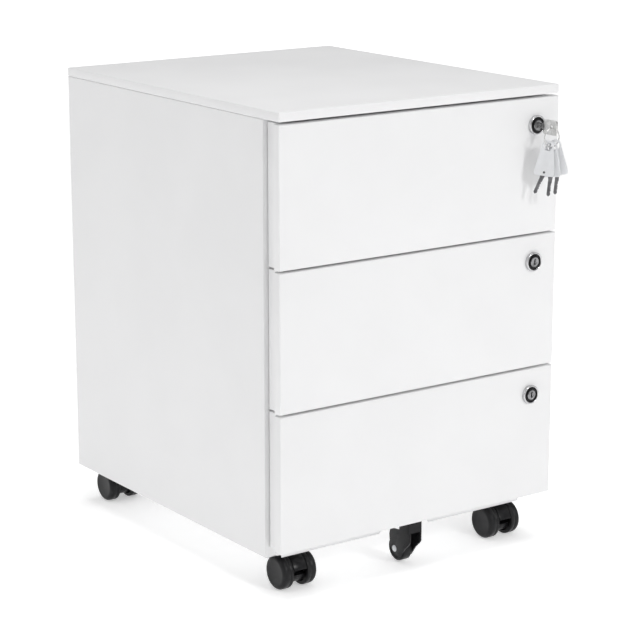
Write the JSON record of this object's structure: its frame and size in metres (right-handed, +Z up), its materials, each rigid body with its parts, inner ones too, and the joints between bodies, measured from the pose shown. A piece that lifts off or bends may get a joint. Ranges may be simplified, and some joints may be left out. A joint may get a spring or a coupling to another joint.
{
  "type": "metal filing cabinet",
  "caption": "Narrow white steel under-desk pedestal: stacked locking drawers on telescopic slides, twin-wheel casters, a front anti-tip wheel and a key bunch in the top lock.",
  "frame": {"origin": "on the floor at the centre of the body's footprint", "axes": "+Z up, drawers face and open along -Y, +X to the right of someone facing the drawers"},
  "size_m": [0.39, 0.4949, 0.55],
  "materials": {
    "white_enamel": "white powder coat, fine orange peel, satin",
    "inner_enamel": "white powder coat inside, slightly duller",
    "zinc_steel": "zinc-plated steel",
    "lock_chrome": "nickel-chrome plate",
    "lock_core": "dull nickel core",
    "caster_plastic": "black moulded nylon, satin",
    "wheel_tread": "black moulded wheel, satin tread",
    "key_nickel": "nickel-plated brass key",
    "key_plastic": "pale grey translucent plastic",
    "screw_steel": "zinc screws"
  },
  "bodies": {
    "root": {"left_side_panel": "white_enamel", "right_side_panel": "white_enamel", "back_panel": "white_enamel", "top_panel": "white_enamel", "base_panel": "white_enamel", "top_rail": "white_enamel", "left_uprights": "inner_enamel", "right_uprights": "inner_enamel", "caster_mounts": "zinc_steel", "caster_screws": "screw_steel", "drawer_1_slides_outer": "zinc_steel", "drawer_2_slides_outer": "zinc_steel", "drawer_3_slides_outer": "zinc_steel"},
    "drawer_1": {"drawer_1_front": "white_enamel", "drawer_1_liner": "inner_enamel", "drawer_1_tub": "inner_enamel", "drawer_1_slides_inner": "zinc_steel", "lock_1_housing": "lock_chrome"},
    "drawer_1_slide_middles": {"drawer_1_slides_middle": "zinc_steel"},
    "lock_1_plug": {"lock_1_plug": "lock_core", "lock_1_cam": "zinc_steel"},
    "drawer_2": {"drawer_2_front": "white_enamel", "drawer_2_liner": "inner_enamel", "drawer_2_tub": "inner_enamel", "drawer_2_slides_inner": "zinc_steel", "lock_2_housing": "lock_chrome"},
    "drawer_2_slide_middles": {"drawer_2_slides_middle": "zinc_steel"},
    "lock_2_plug": {"lock_2_plug": "lock_core", "lock_2_cam": "zinc_steel"},
    "drawer_3": {"drawer_3_front": "white_enamel", "drawer_3_liner": "inner_enamel", "drawer_3_tub": "inner_enamel", "drawer_3_slides_inner": "zinc_steel", "lock_3_housing": "lock_chrome", "anti_tip_fork": "caster_plastic", "anti_tip_axle": "zinc_steel"},
    "drawer_3_slide_middles": {"drawer_3_slides_middle": "zinc_steel"},
    "lock_3_plug": {"lock_3_plug": "lock_core", "lock_3_cam": "zinc_steel"},
    "anti_tip_wheel": {"anti_tip_wheel": "wheel_tread"},
    "front_left_caster": {"front_left_hood": "caster_plastic"},
    "front_left_wheel_l": {"front_left_wheel_l": "wheel_tread"},
    "front_left_wheel_r": {"front_left_wheel_r": "wheel_tread"},
    "front_right_caster": {"front_right_hood": "caster_plastic"},
    "front_right_wheel_l": {"front_right_wheel_l": "wheel_tread"},
    "front_right_wheel_r": {"front_right_wheel_r": "wheel_tread"},
    "rear_left_caster": {"rear_left_hood": "caster_plastic"},
    "rear_left_wheel_l": {"rear_left_wheel_l": "wheel_tread"},
    "rear_left_wheel_r": {"rear_left_wheel_r": "wheel_tread"},
    "rear_right_caster": {"rear_right_hood": "caster_plastic"},
    "rear_right_wheel_l": {"rear_right_wheel_l": "wheel_tread"},
    "rear_right_wheel_r": {"rear_right_wheel_r": "wheel_tread"},
    "key": {"key_in_lock": "key_nickel"},
    "key_ring": {"key_ring": "key_nickel"},
    "spare_keys": {"spare_key_1_head": "key_plastic", "spare_key_2_head": "key_plastic", "spare_key_3_head": "key_plastic"},
    "spare_key_1_blade": {"spare_key_1_blade": "key_nickel"},
    "spare_key_2_blade": {"spare_key_2_blade": "key_nickel"},
    "spare_key_3_blade": {"spare_key_3_blade": "key_nickel"}
  },
  "joints": [
    {"name": "drawer_1_slide", "type": "slide", "parent": "root", "child": "drawer_1", "axis": [0, -1, 0], "range_m": [0, 0.34]},
    {"name": "drawer_1_middle_slide", "type": "slide", "parent": "root", "child": "drawer_1_slide_middles", "axis": [0, -1, 0], "range_m": [0, 0.17]},
    {"name": "lock_1_turn", "type": "hinge", "parent": "drawer_1", "child": "lock_1_plug", "pos_m": [0.1607, -0.2275, 0.5056], "axis": [0, -1, 0], "range_deg": [0, 90]},
    {"name": "drawer_2_slide", "type": "slide", "parent": "root", "child": "drawer_2", "axis": [0, -1, 0], "range_m": [0, 0.34]},
    {"name": "drawer_2_middle_slide", "type": "slide", "parent": "root", "child": "drawer_2_slide_middles", "axis": [0, -1, 0], "range_m": [0, 0.17]},
    {"name": "lock_2_turn", "type": "hinge", "parent": "drawer_2", "child": "lock_2_plug", "pos_m": [0.1607, -0.2275, 0.34547], "axis": [0, -1, 0], "range_deg": [0, 90]},
    {"name": "drawer_3_slide", "type": "slide", "parent": "root", "child": "drawer_3", "axis": [0, -1, 0], "range_m": [0, 0.34]},
    {"name": "drawer_3_middle_slide", "type": "slide", "parent": "root", "child": "drawer_3_slide_middles", "axis": [0, -1, 0], "range_m": [0, 0.17]},
    {"name": "lock_3_turn", "type": "hinge", "parent": "drawer_3", "child": "lock_3_plug", "pos_m": [0.1607, -0.2275, 0.18533], "axis": [0, -1, 0], "range_deg": [0, 90]},
    {"name": "anti_tip_wheel_spin", "type": "hinge", "parent": "drawer_3", "child": "anti_tip_wheel", "pos_m": [0, -0.1895, 0.017], "axis": [1, 0, 0], "continuous": true},
    {"name": "front_left_swivel", "type": "hinge", "parent": "root", "child": "front_left_caster", "pos_m": [-0.15, -0.1685, 0.045], "axis": [0, 0, 1], "continuous": true},
    {"name": "front_left_wheel_l_spin", "type": "hinge", "parent": "front_left_caster", "child": "front_left_wheel_l", "pos_m": [-0.15, -0.1825, 0.02], "axis": [1, 0, 0], "continuous": true},
    {"name": "front_left_wheel_r_spin", "type": "hinge", "parent": "front_left_caster", "child": "front_left_wheel_r", "pos_m": [-0.15, -0.1825, 0.02], "axis": [1, 0, 0], "continuous": true},
    {"name": "front_right_swivel", "type": "hinge", "parent": "root", "child": "front_right_caster", "pos_m": [0.15, -0.1685, 0.045], "axis": [0, 0, 1], "continuous": true},
    {"name": "front_right_wheel_l_spin", "type": "hinge", "parent": "front_right_caster", "child": "front_right_wheel_l", "pos_m": [0.15, -0.1825, 0.02], "axis": [1, 0, 0], "continuous": true},
    {"name": "front_right_wheel_r_spin", "type": "hinge", "parent": "front_right_caster", "child": "front_right_wheel_r", "pos_m": [0.15, -0.1825, 0.02], "axis": [1, 0, 0], "continuous": true},
    {"name": "rear_left_swivel", "type": "hinge", "parent": "root", "child": "rear_left_caster", "pos_m": [-0.15, 0.1895, 0.045], "axis": [0, 0, 1], "continuous": true},
    {"name": "rear_left_wheel_l_spin", "type": "hinge", "parent": "rear_left_caster", "child": "rear_left_wheel_l", "pos_m": [-0.15, 0.2035, 0.02], "axis": [1, 0, 0], "continuous": true},
    {"name": "rear_left_wheel_r_spin", "type": "hinge", "parent": "rear_left_caster", "child": "rear_left_wheel_r", "pos_m": [-0.15, 0.2035, 0.02], "axis": [1, 0, 0], "continuous": true},
    {"name": "rear_right_swivel", "type": "hinge", "parent": "root", "child": "rear_right_caster", "pos_m": [0.15, 0.1895, 0.045], "axis": [0, 0, 1], "continuous": true},
    {"name": "rear_right_wheel_l_spin", "type": "hinge", "parent": "rear_right_caster", "child": "rear_right_wheel_l", "pos_m": [0.15, 0.2035, 0.02], "axis": [1, 0, 0], "continuous": true},
    {"name": "rear_right_wheel_r_spin", "type": "hinge", "parent": "rear_right_caster", "child": "rear_right_wheel_r", "pos_m": [0.15, 0.2035, 0.02], "axis": [1, 0, 0], "continuous": true},
    {"name": "key_pull", "type": "slide", "parent": "lock_1_plug", "child": "key", "axis": [0, -1, 0], "range_m": [0, 0.022]},
    {"name": "key_ring_swing", "type": "hinge", "parent": "key", "child": "key_ring", "pos_m": [0.1607, -0.2555, 0.5053], "axis": [-1, 0, 0], "range_deg": [-8, 60]},
    {"name": "spare_keys_round_ring", "type": "hinge", "parent": "key_ring", "child": "spare_keys", "pos_m": [0.1607, -0.2555, 0.4943], "axis": [0, 1, 0], "range_deg": [0, 90]},
    {"name": "spare_key_1_fold", "type": "hinge", "parent": "spare_keys", "child": "spare_key_1_blade", "pos_m": [0.15262, -0.25292, 0.455], "axis": [0.7071, 0.7071, 0], "range_deg": [-15, 155]},
    {"name": "spare_key_2_fold", "type": "hinge", "parent": "spare_keys", "child": "spare_key_2_blade", "pos_m": [0.1607, -0.2555, 0.4533], "axis": [0.7071, 0.7071, 0], "range_deg": [-5, 165]},
    {"name": "spare_key_3_fold", "type": "hinge", "parent": "spare_keys", "child": "spare_key_3_blade", "pos_m": [0.16878, -0.25809, 0.455], "axis": [0.7071, 0.7071, 0], "range_deg": [-12, 158]}
  ],
  "couplings": [
    {"joint": "drawer_1_middle_slide", "follows": "drawer_1_slide", "ratio": 0.5},
    {"joint": "drawer_2_middle_slide", "follows": "drawer_2_slide", "ratio": 0.5},
    {"joint": "drawer_3_middle_slide", "follows": "drawer_3_slide", "ratio": 0.5},
    {"joint": "spare_keys_round_ring", "follows": "lock_1_turn", "ratio": 1}
  ]
}
